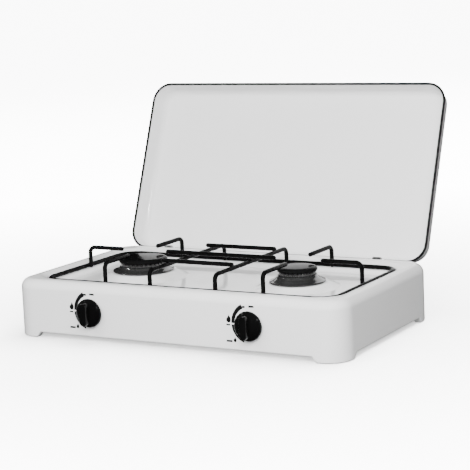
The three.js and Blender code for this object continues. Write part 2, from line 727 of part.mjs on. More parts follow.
// A strap under the rail, hooked on the back of the tap body's saddle and screwed at its front.
const buildClamp = () => {
  const inner = RAIL_RADIUS + GAP;
  const outer = inner + 1.5;
  const ring = cut(
    rodAlongX(outer, -5, 5, RAIL_Y, RAIL_LEVEL),
    rodAlongX(inner, -6, 6, RAIL_Y, RAIL_LEVEL),
    box(-6, 6, RAIL_Y - outer - 1, RAIL_Y + outer + 1, RAIL_LEVEL + 0.2, RAIL_LEVEL + outer + 1),
  );
  const screwY = RAIL_Y - CLAMP_SCREW_REACH;
  const ear = (y0, y1) => box(-5, 5, y0, y1, RAIL_LEVEL - EAR_DROP, RAIL_LEVEL + 0.2);
  const frontEar = ear(screwY - 3, RAIL_Y - inner - 0.4);
  const backEar = ear(RAIL_Y + inner + 0.4, RAIL_Y + 10);
  const screwHole = rodAlongZ(CLAMP_SCREW_HOLE, RAIL_LEVEL - 3, RAIL_LEVEL + 2, 0, screwY, HOLE_SIDES);
  return cut(join(ring, frontEar, backEar), screwHole);
};

const buildTaps = () => {
  for (const { side, x } of BURNERS) {
    const place = new THREE.Group();
    place.position.set(x, 0, 0);
    stove.add(place);
    addPart(place, `valve_body_${side}`, buildValveBody(), BRASS);
    addPart(place, `valve_plug_${side}`, buildPlug(), BRASS);
    addPart(place, `valve_stem_${side}`, buildStem(), STEEL);
    addPart(place, `valve_spring_${side}`, buildSpring(), STEEL);
    addPart(place, `valve_bonnet_${side}`, buildBonnet(), STEEL);
    addPart(place, `knob_${side}`, buildKnob(), BLACK_PLASTIC);
    addPart(place, `injector_${side}`, buildInjector(), BRASS);
    addPart(place, `rail_clamp_${side}`, buildClamp(), STEEL);
    const screw = addPart(place, `clamp_screw_${side}`, buildScrew(3.2, 2, 1.6, 7), STEEL);
    screw.rotation.x = Math.PI;
    screw.position.set(0, RAIL_Y - CLAMP_SCREW_REACH, RAIL_LEVEL - EAR_DROP - GAP);
  }
};

buildTaps();

// ---------------------------------------------------------------- gas rail and inlet

const railRearEnd = BODY_DEPTH / 2 - 16;

const railPath = (start, end) => bentLine([
  point(start, RAIL_Y, RAIL_LEVEL),
  point(INLET_X, RAIL_Y, RAIL_LEVEL),
  point(INLET_X, end, RAIL_LEVEL),
], 18);

// The rail is closed at its right end and has a gas port under each tap.
const buildRail = () => {
  const pipe = (radius, start, end) => sweep(
    new THREE.Shape(roundSection(radius, TUBE_SIDES)), railPath(start, end), UP,
  );
  return cut(
    pipe(RAIL_RADIUS, RAIL_RIGHT_END, railRearEnd),
    pipe(RAIL_BORE, RAIL_RIGHT_END - 4, railRearEnd + 1),
    ...BURNERS.map(({ x }) => rodAlongZ(GAS_PORT, RAIL_LEVEL, RAIL_LEVEL + 7, x, RAIL_Y, HOLE_SIDES)),
  );
};

// The inlet: a spigot in the rail, a shoulder inside the rear wall and a barbed hose tail outside it.
const buildInlet = () => {
  const wallInside = BODY_DEPTH / 2 - SHEET - GAP - railRearEnd;
  const wallOutside = BODY_DEPTH / 2 - railRearEnd;
  const tail = wallOutside + INLET_REACH;
  return cut(turnedAlongY([
    [0, -6],
    [3.4, -6],
    [3.4, GAP],
    [8, GAP],
    [8, wallInside],
    [6, wallInside],
    [6, wallOutside + 6],
    [4, wallOutside + 6.5],
    [4, tail - 12],
    [5, tail - 12],
    [4, tail - 7],
    [5, tail - 7],
    [3.6, tail],
    [0, tail],
  ], CUP_SIDES), rodAlongY(1.9, -7, tail + 1, 0, 0, HOLE_SIDES)).translate(INLET_X, railRearEnd, RAIL_LEVEL);
};

const buildLockNut = () => {
  const front = BODY_DEPTH / 2 + GAP;
  return cut(
    rodAlongY(10, front, front + 4.5, INLET_X, RAIL_LEVEL, 6),
    rodAlongY(6 + GAP, front - 1, front + 6, INLET_X, RAIL_LEVEL),
  );
};

// A strip that holds the middle of the rail to the front panel.
const buildRailBracket = () => {
  const wall = panelInside + GAP;
  const seat = RAIL_LEVEL - RAIL_RADIUS - GAP;
  return plateAcrossX([
    [wall, seat - 1.5],
    [RAIL_Y + 7, seat - 1.5],
    [RAIL_Y + 7, seat],
    [wall + 1.5, seat],
    [wall + 1.5, TAP_LEVEL + 8],
    [wall, TAP_LEVEL + 8],
  ], -8, 8);
};

addPart(stove, 'gas_rail', buildRail(), STEEL);
addPart(stove, 'rail_bracket', buildRailBracket(), STEEL);
addPart(stove, 'inlet_hose_tail', buildInlet(), BRASS);
addPart(stove, 'inlet_lock_nut', buildLockNut(), BRASS);

// ---------------------------------------------------------------- lid

// The lid is laid out closed, about the hinge axis, then turned to the open rest position.
const lid = new THREE.Group();
lid.position.set(0, hinge.y, hinge.z);
lid.rotation.x = -LID_SWING;
stove.add(lid);

const edgeY = lidEdgeClosed.y - hinge.y;
const edgeZ = lidEdgeClosed.z - hinge.z;
const lidCentreY = edgeY - LID_LENGTH / 2;

const lidLevels = (offset, bottom) => {
  const radius = LID_FILLET - offset;
  const outerEdge = -LID_SHEET / 2 + offset;
  const filletZ = LID_DEPTH - LID_FILLET;
  const upright = 2.2;
  const slopeTop = filletZ + radius * Math.sin(LID_DRAFT);
  const slopeInset = outerEdge + Math.tan(LID_DRAFT) * (slopeTop - upright);
  const filletInset = slopeInset + radius * Math.cos(LID_DRAFT);
  const levels = [[outerEdge, bottom], [outerEdge, upright]];
  for (let step = 0; step <= EDGE_STEPS; step += 1) {
    const angle = LID_DRAFT + (step / EDGE_STEPS) * (Math.PI / 2 - LID_DRAFT);
    levels.push([filletInset - radius * Math.cos(angle), filletZ + radius * Math.sin(angle)]);
  }
  return levels.map(([inset, height]) => [inset, edgeZ + height]);
};

// The hinge leaf and its rivet lie against the sloping rear wall, this far up it.
const leafHeight = 10;
const leafAnchor = {
  y: edgeY + LID_SHEET / 2 - Math.tan(LID_DRAFT) * (leafHeight - 2.2),
  z: edgeZ + leafHeight,
};

const onRearWall = (geometry) => geometry.rotateX(LID_DRAFT).translate(0, leafAnchor.y, leafAnchor.z);

const buildLidShell = () => {
  const outside = tray(LID_WIDTH / 2, LID_LENGTH / 2, LID_CORNER, lidLevels(0, -0.6), lidCentreY);
  const inside = tray(LID_WIDTH / 2, LID_LENGTH / 2, LID_CORNER, lidLevels(LID_SHEET, -1.6), lidCentreY);
  const cutters = [-HINGE_X, HINGE_X].flatMap((x) => [
    box(x - HINGE_NOTCH, x + HINGE_NOTCH, edgeY - 4, edgeY + 4, edgeZ - 2, edgeZ + 3.6),
    onRearWall(rodAlongY(RIVET_HOLE, -4, 4, x, 0, HOLE_SIDES)),
  ]);
  return cut(outside, inside, ...cutters);
};

// The bead is a round strip with a slot that the lid's edge is pushed into.
const beadSection = () => {
  const slot = LID_SHEET / 2 + GAP;
  const mouth = Math.asin(slot / BEAD_RADIUS);
  const corners = [];
  const steps = 7;
  for (let i = 0; i <= steps; i += 1) {
    const angle = Math.PI / 2 + mouth + (i / steps) * (2 * Math.PI - 2 * mouth);
    corners.push(new THREE.Vector2(BEAD_RADIUS * Math.cos(angle), BEAD_RADIUS * Math.sin(angle)));
  }
  corners.push(new THREE.Vector2(slot, -0.6 - GAP), new THREE.Vector2(-slot, -0.6 - GAP));
  return new THREE.Shape(corners);
};

const beadEnd = HINGE_X + HINGE_NOTCH + 1;

const buildFrontBead = () => {
  const half = LID_WIDTH / 2;
  const front = edgeY - LID_LENGTH;
  return sweep(beadSection(), bentLine([
    point(beadEnd, edgeY, edgeZ),
    point(half, edgeY, edgeZ),
    point(half, front, edgeZ),
    point(-half, front, edgeZ),
    point(-half, edgeY, edgeZ),
    point(-beadEnd, edgeY, edgeZ),
  ], LID_CORNER, CORNER_STEPS), UP);
};

const buildRearBead = () => {
  const end = HINGE_X - HINGE_NOTCH - 1;
  return sweep(beadSection(), [point(-end, edgeY, edgeZ), point(end, edgeY, edgeZ)], UP);
};

addPart(lid, 'lid_shell', buildLidShell(), WHITE_ENAMEL);
addPart(lid, 'lid_edge_bead', buildFrontBead(), BLACK_RUBBER);
addPart(lid, 'lid_rear_bead', buildRearBead(), BLACK_RUBBER);

// ---------------------------------------------------------------- hinges

const earInside = 4.4;
const earOutside = 5.9;

// The leaf is a small steel channel: a back plate on the lid and two ears on the pin.
const buildLeaf = () => {
  const plate = onRearWall(box(-earOutside, earOutside, GAP, GAP + 1.5, -6.5, 6.5));
  const ears = [-1, 1].map((side) => {
    const [x0, x1] = side > 0 ? [earInside, earOutside] : [-earOutside, -earInside];
    const arm = plateAcrossX([
      [0, 0],
      [KNUCKLE_RADIUS, 0],
      [edgeY + 2.7, edgeZ + 2],
      [edgeY + 2.7, edgeZ + 6],
      [edgeY + 0.9, edgeZ + 6],
      [edgeY + 0.7, edgeZ + 3.2],
      [0, edgeZ + 1.5],
    ], x0, x1);
    return join(rodAlongX(KNUCKLE_RADIUS, x0, x1, 0, 0, 16), arm);
  });
  return cut(
    join(plate, ...ears),
    rodAlongX(PIN_HOLE, -SLOT_HALF, SLOT_HALF, 0, 0, HOLE_SIDES),
    onRearWall(rodAlongY(RIVET_HOLE, -1, 4, 0, 0, HOLE_SIDES)),
  );
};

const rivet = (grip) => turnedAlongY([
  [0, -1.2],
  [1.6, -1.2],
  [2.8, 0],
  [1.5, 0],
  [1.5, grip],
  [2.8, grip],
  [1.6, grip + 1.2],
  [0, grip + 1.2],
], HOLE_SIDES);

// The lug rises from the rear wall, inside the body, through a slot in the rounded rear edge.
const buildLug = () => {
  const wall = BODY_DEPTH / 2 - SHEET - GAP;
  const strip = plateAcrossX([
    [wall - 2, 44],
    [wall, 44],
    [wall, DECK - 13.5],
    [hinge.y + 0.4, DECK - 9.5],
    [hinge.y + 0.4, hinge.z],
    [hinge.y - 1.8, hinge.z],
    [hinge.y - 1.8, DECK - 10.3],
    [wall - 2, DECK - 14.3],
  ], -LUG_HALF_WIDTH, LUG_HALF_WIDTH);
  return cut(
    join(strip, rodAlongX(KNUCKLE_RADIUS, -LUG_HALF_WIDTH, LUG_HALF_WIDTH, hinge.y, hinge.z, 16)),
    rodAlongX(PIN_HOLE, -SLOT_HALF, SLOT_HALF, hinge.y, hinge.z, HOLE_SIDES),
    rodAlongY(RIVET_HOLE, wall - 3, wall + 1, 0, LUG_RIVET_LEVEL, HOLE_SIDES),
  );
};

const buildHinges = () => {
  const leafGrip = LID_SHEET / Math.cos(LID_DRAFT) + 1.5 + 3 * GAP;
  const lugGrip = SHEET + 2 + 3 * GAP;
  for (const [side, x] of [['left', -HINGE_X], ['right', HINGE_X]]) {
    addPart(stove, `hinge_lug_${side}`, buildLug(), STEEL).position.x = x;
    const lugRivet = addPart(stove, `lug_rivet_${side}`, rivet(lugGrip), STEEL);
    lugRivet.position.set(x, BODY_DEPTH / 2 - SHEET - 2 * GAP - 2, LUG_RIVET_LEVEL);
    addPart(lid, `hinge_leaf_${side}`, buildLeaf(), STEEL).position.x = x;
    const pinShape = rodAlongX(PIN_RADIUS, -7.4, 7.4, 0, 0, HOLE_SIDES);
    const pin = addPart(lid, `hinge_pin_${side}`, pinShape, STEEL);
    pin.position.x = x;
    const leafRivet = rivet(leafGrip).translate(0, -LID_SHEET / Math.cos(LID_DRAFT) - GAP, 0);
    addPart(lid, `leaf_rivet_${side}`, onRearWall(leafRivet), STEEL).position.x = x;
  }
};

buildHinges();

// ---------------------------------------------------------------- origin

const bounds = new THREE.Box3().setFromObject(stove, true);
stove.position.set(
  -(bounds.min.x + bounds.max.x) / 2,
  -(bounds.min.y + bounds.max.y) / 2,
  -bounds.min.z,
);

export default stove;
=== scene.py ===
"""Two-burner camping stove: the looks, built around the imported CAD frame.

Shapes are written in millimetres in the body's own coordinates: x = 0 and y = 0 at the body's centre, z = 0
on the surface it stands on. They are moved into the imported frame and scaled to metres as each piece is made.
"""

import json
import math

import bmesh
import bpy
from mathutils import Matrix, Vector
from mathutils.geometry import delaunay_2d_cdt


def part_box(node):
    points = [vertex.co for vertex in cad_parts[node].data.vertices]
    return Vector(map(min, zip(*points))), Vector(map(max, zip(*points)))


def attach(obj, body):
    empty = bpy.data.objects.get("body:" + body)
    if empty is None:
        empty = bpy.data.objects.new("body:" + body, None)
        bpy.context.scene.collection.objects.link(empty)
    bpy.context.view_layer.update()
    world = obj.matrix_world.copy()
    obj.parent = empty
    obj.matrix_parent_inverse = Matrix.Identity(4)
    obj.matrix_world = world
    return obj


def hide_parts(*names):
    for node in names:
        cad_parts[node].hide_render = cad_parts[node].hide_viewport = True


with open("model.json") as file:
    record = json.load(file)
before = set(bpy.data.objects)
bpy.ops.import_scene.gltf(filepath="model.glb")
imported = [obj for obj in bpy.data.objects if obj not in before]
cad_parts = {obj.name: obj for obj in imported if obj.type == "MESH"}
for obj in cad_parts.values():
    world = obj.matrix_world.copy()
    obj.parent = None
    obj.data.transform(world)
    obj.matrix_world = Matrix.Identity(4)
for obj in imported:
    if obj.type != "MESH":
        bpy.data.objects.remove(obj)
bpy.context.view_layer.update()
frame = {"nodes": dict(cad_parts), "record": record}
NODES = frame["nodes"]

MM = 0.001
TAU = 2 * math.pi
TURNED_SIDES, FINE_SIDES = 96, 128

# ---------------------------------------------------------------- dimensions

# These are the CAD's, but the deck's lip is 0.4 mm lower, so that more of the frame's wire shows above the
# rim, and the burner heads have more flame ports.
GAP = 0.3
BODY_X, BODY_Y, DECK = 250.0, 143.0, 79.5
BODY_CORNER, BODY_EDGE, SHEET, SKIRT_ROLL = 32.0, 13.0, 1.2, 2.2
FOOT_DROP, FOOT_LENGTH, FOOT_SLOPE, BASE_FLANGE = 7.5, 36.0, 7.0, 9.0
WIRE = 3.0
GRATE_Y, GRATE_X, GRATE_DEPTH, GRATE_CORNER = -3.2, 220.3, 107.0, 26.0
FRAME_Z, ROD_Z, FINGER_Z = 74.4, 95.1, 101.4
ROD_X, BAR_SPREAD, WIRE_BEND = 50.3, 60.0, 8.0
RECESS_X, RECESS_Y, RECESS_CORNER = (size + WIRE + 1 for size in (GRATE_X, GRATE_DEPTH, GRATE_CORNER))
LIP_Z, RIM_SLOPE, LEDGE_Z, FLOOR_Z, LEDGE_WIDTH, FLOOR_INSET = 76.2, 12.0, 71.1, 65.0, 8.0, 15.0
FLOOR_BLEND, CONE_BLEND = 6.0, 7.0
BURNER_Y = -7.8
BURNERS = {
    "left": dict(x=-121.4, ring=43.3, rim=75.9, cap=34.0, cone=62.0, ports=32,
                 tips=dict(front=35.2, back=36.4, outer=35.2, inner=35.6)),
    "right": dict(x=121.4, ring=38.5, rim=73.9, cap=27.3, cone=56.0, ports=26,
                  tips=dict(front=30.0, back=36.4, outer=33.2, inner=34.0)),
}
RING_TOP, CONE_HOLE, CONE_DROP, HEAD_INSET = 82.0, 20.5, 2.2, 2.3
CAP_TOP, CAP_UNDER, CUP_RADIUS, CUP_TOP = 93.6, 87.2, 17.5, 72.6
TAP_Z, KNOB_RADIUS, KNOB_BACK, STEM_HOLE = 41.5, 19.5, -146.6, 3.3
INK_Y, INK_THICKNESS = -BODY_Y - 0.06, 0.04
INLET_X, INLET_Z, WALL_HOLE = -205.0, 26.5, 6.5
HINGE = Vector((0.0, 139.2014, 78.515))
HINGE_X, HINGE_NOTCH = 171.0, 8.0
SLOT_HALF, SLOT_REACH, SLOT_DROP = 7.0, 4.4, 11.5
LID_X, LID_LENGTH, LID_CORNER, LID_DEPTH, LID_SHEET, LID_FILLET = 240.0, 257.0, 27.0, 27.0, 1.0, 10.0
LID_REAR_Y, LID_RIM_Z, LID_DRAFT, LID_UPRIGHT = 140.5, 81.55, math.radians(10), 2.2
LID_SWING, EDGING_RADIUS = math.radians(112), 1.75

SHIFT_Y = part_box("body_shell")[0].y / MM + BODY_Y

# ---------------------------------------------------------------- camera

VIEW_AZIMUTH, VIEW_ELEVATION = math.radians(29.665), math.radians(9.541)
VIEW_ROLL = math.radians(-2.485)
VIEW_DISTANCE, VIEW_TARGET = 2165.79, Vector((22.837, 5.752, 130.102))
SENSOR_WIDTH = 36
VIEW_FOCAL, VIEW_SHIFT = 3.378362 * SENSOR_WIDTH, (-0.002621, -0.003077)


def place(point):
    return Vector((point[0], point[1] + SHIFT_Y, point[2])) * MM


def make_camera():
    camera = bpy.data.objects.new("camera", bpy.data.cameras.new("camera"))
    bpy.context.scene.collection.objects.link(camera)
    away = Vector((
        math.sin(VIEW_AZIMUTH) * math.cos(VIEW_ELEVATION),
        -math.cos(VIEW_AZIMUTH) * math.cos(VIEW_ELEVATION),
        math.sin(VIEW_ELEVATION),
    ))
    right = Vector((math.cos(VIEW_AZIMUTH), math.sin(VIEW_AZIMUTH), 0))
    up = away.cross(right)
    rolled_right = right * math.cos(VIEW_ROLL) + up * math.sin(VIEW_ROLL)
    rolled_up = up * math.cos(VIEW_ROLL) - right * math.sin(VIEW_ROLL)
    turn = Matrix((rolled_right, rolled_up, away)).transposed().to_4x4()
    camera.matrix_world = Matrix.Translation(place(VIEW_TARGET + away * VIEW_DISTANCE)) @ turn
    camera.data.sensor_width = SENSOR_WIDTH
    camera.data.lens = VIEW_FOCAL
    camera.data.shift_x, camera.data.shift_y = VIEW_SHIFT
    camera.data.clip_start, camera.data.clip_end = 0.05, 60
    bpy.context.scene.camera = camera


make_camera()

# ---------------------------------------------------------------- materials


class Nodes:
    """A small helper that adds and links shader nodes."""

    def __init__(self, name):
        self.material = bpy.data.materials.new(name)
        self.material.use_nodes = True
        self.tree = self.material.node_tree
        self.shader = self.tree.nodes["Principled BSDF"]
        self.coordinates = self.tree.nodes.new("ShaderNodeTexCoord").outputs["Object"]

    def link(self, start, end):
        self.tree.links.new(start, end)

    def noise(self, scale, detail=3.0, stretch=None):
        node = self.tree.nodes.new("ShaderNodeTexNoise")
        node.inputs["Scale"].default_value = scale
        node.inputs["Detail"].default_value = detail
        source = self.coordinates
        if stretch:
            mapping = self.tree.nodes.new("ShaderNodeMapping")
            mapping.inputs["Scale"].default_value = stretch
            self.link(source, mapping.inputs["Vector"])
            source = mapping.outputs["Vector"]
        self.link(source, node.inputs["Vector"])
        return node.outputs["Fac"]

    def spread(self, value, low, high, start=0.3, end=0.7):
        node = self.tree.nodes.new("ShaderNodeMapRange")
        for key, number in (("From Min", start), ("From Max", end), ("To Min", low), ("To Max", high)):
            node.inputs[key].default_value = number
        self.link(value, node.inputs["Value"])
        return node.outputs["Result"]

    def fade_in(self, socket, near, far, low, high):
        """A value that grows with the distance from the object's own origin."""
        node = self.tree.nodes.new("ShaderNodeVectorMath")
        node.operation = "LENGTH"
        self.link(self.coordinates, node.inputs[0])
        self.link(self.spread(node.outputs["Value"], low, high, near, far), socket)

    def mix_colours(self, value, low, high):
        node = self.tree.nodes.new("ShaderNodeValToRGB")
        node.color_ramp.elements[0].position, node.color_ramp.elements[1].position = 0.3, 0.7
        node.color_ramp.elements[0].color = (*low, 1)
        node.color_ramp.elements[1].color = (*high, 1)
        self.link(value, node.inputs["Fac"])
        self.link(node.outputs["Color"], self.shader.inputs["Base Color"])

    def rough(self, value, low, high):
        self.link(self.spread(value, low, high), self.shader.inputs["Roughness"])

    def bump(self, value, strength, depth):
        node = self.tree.nodes.new("ShaderNodeBump")
        node.inputs["Strength"].default_value = strength
        node.inputs["Distance"].default_value = depth
        self.link(value, node.inputs["Height"])
        self.link(node.outputs["Normal"], self.shader.inputs["Normal"])


CLOUD_SCALE, ROUGH_SCALE, BUMP_STRENGTH = 14, 0.3, 0.35


def finish_material(name, grey, spread, rough, grain, depth, metal=0.0, gloss=0.5, tint=(1, 1, 1),
                    stretch=None):
    """A grey that varies slowly by spread, with a range of roughness and a fine bump. Depth is in metres."""
    nodes = Nodes(name)
    low, high = grey - spread, grey + spread
    nodes.mix_colours(nodes.noise(CLOUD_SCALE, 4), [low * t for t in tint], [high * t for t in tint])
    nodes.rough(nodes.noise(grain * ROUGH_SCALE, 4, stretch), *rough)
    nodes.bump(nodes.noise(grain, 2, stretch), BUMP_STRENGTH, depth)
    nodes.shader.inputs["Metallic"].default_value = metal
    nodes.shader.inputs["Specular IOR Level"].default_value = gloss
    return nodes.material


WHITE_ENAMEL = finish_material("enamel_white", 0.82, 0.006, (0.05, 0.10), 110, 0.000012, gloss=0.6)
BLACK_ENAMEL = finish_material("enamel_black", 0.003, 0.001, (0.22, 0.32), 420, 0.00004, gloss=0.03)
CAP_ENAMEL = finish_material("cap_enamel", 0.004, 0.001, (0.08, 0.14), 380, 0.00001, gloss=0.015)
EDGING = finish_material("edging_black", 0.008, 0.002, (0.28, 0.40), 700, 0.00004, gloss=0.3)
ALUMINIUM = finish_material("burner_aluminium", 0.08, 0.02, (0.24, 0.34), 900, 0.00004, metal=0.8)
CHROME = finish_material("ring_chrome", 0.11, 0.02, (0.12, 0.20), 300, 0.00002, metal=0.85)
STEEL = finish_material("zinc_steel", 0.46, 0.05, (0.28, 0.45), 800, 0.00004, metal=1, stretch=(1, 1, 4))
BRASS = finish_material("tap_brass", 0.50, 0.04, (0.25, 0.40), 900, 0.00004, metal=1,
                        tint=(1.25, 0.98, 0.52))
PLASTIC = finish_material("knob_plastic", 0.003, 0.001, (0.10, 0.16), 1100, 0.00002, gloss=0.12)
INK = finish_material("printed_ink", 0.006, 0.002, (0.35, 0.50), 1500, 0.00001, gloss=0.2)

# ---------------------------------------------------------------- mesh helpers


def new_piece(name, points, faces, material, body, slot, replaces=(), sharp=40.0):
    mesh = bpy.data.meshes.new(name)
    mesh.from_pydata([place(p) for p in points], [], faces)
    mesh.validate()
    piece = bpy.data.objects.new(name, mesh)
    bpy.context.scene.collection.objects.link(piece)
    tidy_normals(mesh)
    mesh.materials.append(material)
    mesh.shade_smooth()
    mesh.set_sharp_from_angle(angle=math.radians(sharp))
    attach(piece, body)
    if replaces:
        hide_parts(*replaces)
    return piece


def tidy_normals(mesh):
    shape = bmesh.new()
    shape.from_mesh(mesh)
    bmesh.ops.remove_doubles(shape, verts=shape.verts, dist=1e-6)
    bmesh.ops.recalc_face_normals(shape, faces=shape.faces)
    shape.to_mesh(mesh)
    shape.free()


def apply_modifiers(piece):
    """Bakes the modifiers into the mesh, so that the mesh holds what is seen."""
    bpy.context.view_layer.update()
    graph = bpy.context.evaluated_depsgraph_get()
    baked = bpy.data.meshes.new_from_object(piece.evaluated_get(graph))
    piece.modifiers.clear()
    piece.data = baked


def cut_away(piece, cutters):
    """Adds a cut for each cutter. The cutters are removed once the piece's modifiers are baked."""
    for cutter in cutters:
        cut = piece.modifiers.new("cut", "BOOLEAN")
        cut.object, cut.operation, cut.solver = cutter, "DIFFERENCE", "EXACT"


def add_thickness(piece, thickness):
    sheet = piece.modifiers.new("sheet", "SOLIDIFY")
    sheet.thickness, sheet.offset, sheet.use_even_offset = thickness * MM, -1, True


def weigh_normals(piece):
    smooth = piece.modifiers.new("normals", "WEIGHTED_NORMAL")
    smooth.keep_sharp, smooth.weight = True, 100


def loose_mesh(name, points, faces):
    mesh = bpy.data.meshes.new(name)
    mesh.from_pydata([place(p) for p in points], [], faces)
    tidy_normals(mesh)
    cutter = bpy.data.objects.new(name, mesh)
    bpy.context.scene.collection.objects.link(cutter)
    return cutter


def grid_faces(rows, columns):
    """Quads between rows of points, with each row's last point joined to its first."""
    faces = []
    for row in range(rows - 1):
        for i in range(columns):
            a, b = row * columns + i, row * columns + (i + 1) % columns
            faces.append((a, b, b + columns, a + columns))
    return faces


def block(x_ends, y_ends, z_ends):
    """The eight corners and six faces of a box."""
    points = [(x, y, z) for z in z_ends for y in y_ends for x in x_ends]
    return points, [(0, 1, 3, 2), (4, 6, 7, 5), (0, 4, 5, 1), (2, 3, 7, 6), (0, 2, 6, 4), (1, 5, 7, 3)]


def lathe(profile, sides, centre, axis="z"):
    """A turned surface. The profile is (radius, height); ends on the axis become single points."""
    points, faces, rows = [], [], []
    for radius, height in profile:
        if radius < 1e-6:
            rows.append([len(points)])
            points.append((0, 0, height))
            continue
        rows.append(list(range(len(points), len(points) + sides)))
        angles = [TAU * i / sides for i in range(sides)]
        points += [(radius * math.cos(angle), radius * math.sin(angle), height) for angle in angles]
    for low, high in zip(rows, rows[1:]):
        for i in range(sides):
            j = (i + 1) % sides
            ring = [low[i % len(low)], low[j % len(low)], high[j % len(high)], high[i % len(high)]]
            faces.append(list(dict.fromkeys(ring)))
    if axis == "y":
        points = [(x, z, -y) for x, y, z in points]
    return [tuple(Vector(p) + Vector(centre)) for p in points], [f for f in faces if len(f) > 2]


def rounded(profile, radii, steps=5):
    """Rounds the corners of an open profile. radii gives the fillet of each corner that has one."""
    points = [tuple(profile[0])]
    for i in range(1, len(profile) - 1):
        corner, radius = Vector(profile[i]), radii.get(i, 0)
        before, after = Vector(profile[i - 1]) - corner, Vector(profile[i + 1]) - corner
        if radius == 0:
            points.append(tuple(corner))
            continue
        reach = min(radius, before.length * 0.49, after.length * 0.49)
        start, end = corner + before.normalized() * reach, corner + after.normalized() * reach
        for step in range(steps + 1):
            t = step / steps
            points.append(tuple(start * (1 - t) ** 2 + corner * 2 * t * (1 - t) + end * t ** 2))
    points.append(tuple(profile[-1]))
    return points


def bent_line(corners, radius, steps=10):
    """Straight runs with a round bend at each inner corner."""
    corners = [Vector(c) for c in corners]
    points = [corners[0]]
    for back, here, ahead in zip(corners, corners[1:], corners[2:]):
        to_back, to_ahead = (back - here).normalized(), (ahead - here).normalized()
        turn = math.pi - to_back.angle(to_ahead)
        reach = radius * math.tan(turn / 2)
        centre = here + (to_back + to_ahead).normalized() * (radius / math.cos(turn / 2))
        arm, axis = here + to_back * reach - centre, to_ahead.cross(to_back).normalized()
        for step in range(steps + 1):
            points.append(centre + Matrix.Rotation(-turn * step / steps, 3, -axis) @ arm)
    points.append(corners[-1])
    return points


# Each ring of a wire's domed end: how far it stands along the last radius, and its share of the radius.
DOME = ((0.0, 1.0), (0.35, 0.92), (0.75, 0.66), (0.96, 0.28))


def tube(path, radius, sides=20):
    """A round wire along a path, with domed ends."""
    steps = [(after - before).normalized() for before, after in zip(path, path[1:])]
    pairs = zip([steps[0], *steps], [*steps, steps[-1]])
    tangents = [(behind + ahead).normalized() for behind, ahead in pairs]
    side = tangents[0].orthogonal().normalized()
    stations = []
    for centre, tangent in zip(path, tangents):
        side = (side - tangent * side.dot(tangent)).normalized()
        stations.append((centre, tangent, side.copy(), radius))
    first, last = stations[0], stations[-1]
    head = [(first[0] + first[1] * radius * (1 - t), *first[1:3], radius * s) for t, s in DOME[::-1]]
    tail = [(last[0] - last[1] * radius * (1 - t), *last[1:3], radius * s) for t, s in DOME]
    stations = head + stations[1:-1] + tail
    points = []
    for centre, tangent, across, size in stations:
        other = tangent.cross(across)
        for k in range(sides):
            angle = TAU * k / sides
            points.append(tuple(centre + (across * math.cos(angle) + other * math.sin(angle)) * size))
    return points, grid_faces(len(stations), sides) + end_caps(len(points), sides)


def end_caps(count, sides):
    """The faces that close the first and the last ring of a grid with that many points."""
    return [tuple(range(sides)), tuple(range(count - sides, count))]


def merge(*parts):
    """Several (points, faces) parts as one."""
    points, faces = [], []
    for part_points, part_faces in parts:
        start = len(points)
        points += part_points
        faces += [tuple(i + start for i in face) for face in part_faces]
    return points, faces


# ---------------------------------------------------------------- rounded-rectangle skins

CORNER_STEPS = 14


def edge_stations(special, count=10):
    """Places along a straight edge, as fractions of its half length, with the special ones included."""
    even = [-1 + 2 * i / count for i in range(1, count)]
    return sorted(set(round(t, 5) for t in even + list(special)))


def rect_ring(half_x, half_y, corner, height, centre_y=0.0, along_x=(), along_y=()):
    """One closed ring, anticlockwise from the right end of the back corner. height: a number or f(x, y)."""
    run_x, run_y = half_x - corner, half_y - corner
    sides = (
        [(-t * run_x, half_y) for t in along_x],
        [(-half_x, -t * run_y) for t in along_y],
        [(t * run_x, -half_y) for t in along_x],
        [(half_x, t * run_y) for t in along_y],
    )
    flat = []
    for quarter, (sign_x, sign_y) in enumerate(((1, 1), (-1, 1), (-1, -1), (1, -1))):
        for i in range(CORNER_STEPS + 1):
            angle = (quarter + i / CORNER_STEPS) * math.pi / 2
            x, y = corner * math.cos(angle), corner * math.sin(angle)
            flat.append((sign_x * run_x + x, sign_y * run_y + y))
        flat += sides[quarter]
    return [(x, y + centre_y, height(x, y) if callable(height) else height) for x, y in flat]


# ---------------------------------------------------------------- body


def foot_height(x, y):
    """The lower edge of the body: down to the table at the corners, raised between them."""
    def rise(position, half):
        foot_end = half - FOOT_LENGTH
        t = min(max((foot_end - abs(position)) / FOOT_SLOPE, 0), 1)
        return FOOT_DROP * (t * t * (3 - 2 * t) * 0.35 + t * 0.65)
    if abs(x) > BODY_X - BODY_CORNER and abs(y) > BODY_Y - BODY_CORNER:
        return 0.0
    return rise(x, BODY_X) if abs(y) > BODY_Y - BODY_CORNER else rise(y, BODY_Y)


def foot_stations(half, corner):
    """Places along an edge where the slope of a foot needs points."""
    shares = (-0.05, 0, 0.15, 0.5, 0.85, 1, 1.05)
    run = half - corner
    return [sign * (half - FOOT_LENGTH - FOOT_SLOPE * t) / run for sign in (-1, 1) for t in shares]


ALONG_X = edge_stations(foot_stations(BODY_X, BODY_CORNER), 24)
ALONG_Y = edge_stations(foot_stations(BODY_Y, BODY_CORNER), 12)


